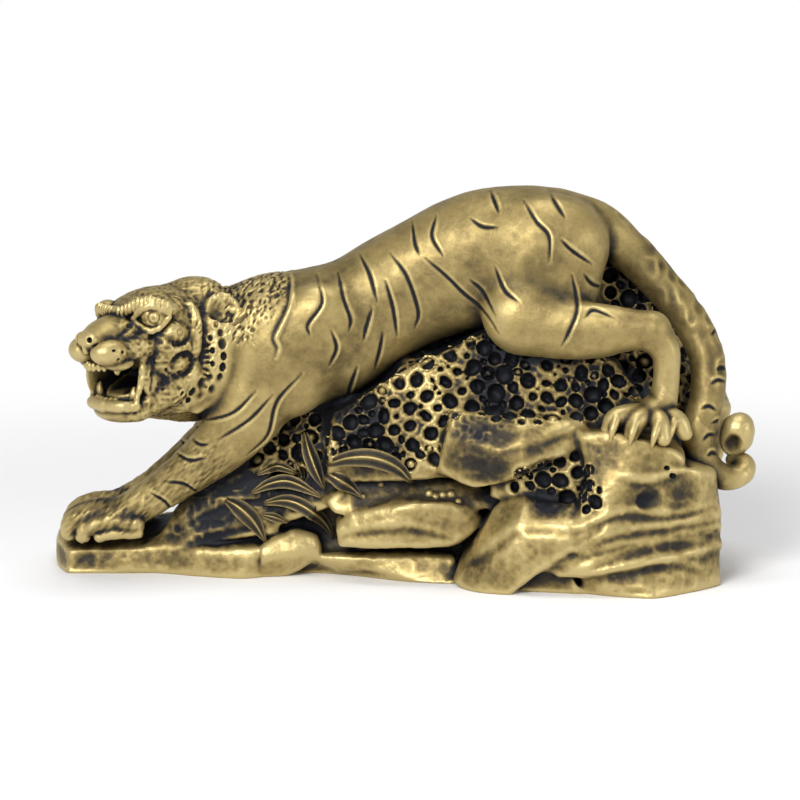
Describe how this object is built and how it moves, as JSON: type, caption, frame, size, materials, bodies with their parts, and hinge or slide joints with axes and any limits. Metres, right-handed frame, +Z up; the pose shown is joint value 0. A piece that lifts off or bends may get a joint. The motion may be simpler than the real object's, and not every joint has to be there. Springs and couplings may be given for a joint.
{
  "type": "tiger figurine",
  "caption": "Desk figurine of a striped tiger creeping down over a pile of rocks with its mouth open, cast in one piece with a bronze-coloured finish and a flat underside.",
  "frame": {"origin": "middle of the box around the figurine, on the flat underside", "axes": "+X from the head towards the tail, along the length; -Y is the front, which the tiger looks towards; +Z up"},
  "size_m": [0.2002, 0.0782, 0.1109],
  "materials": {
    "bronze_paint": "satin"
  },
  "bodies": {
    "root": {"tiger_figurine": "bronze_paint"}
  },
  "joints": []
}
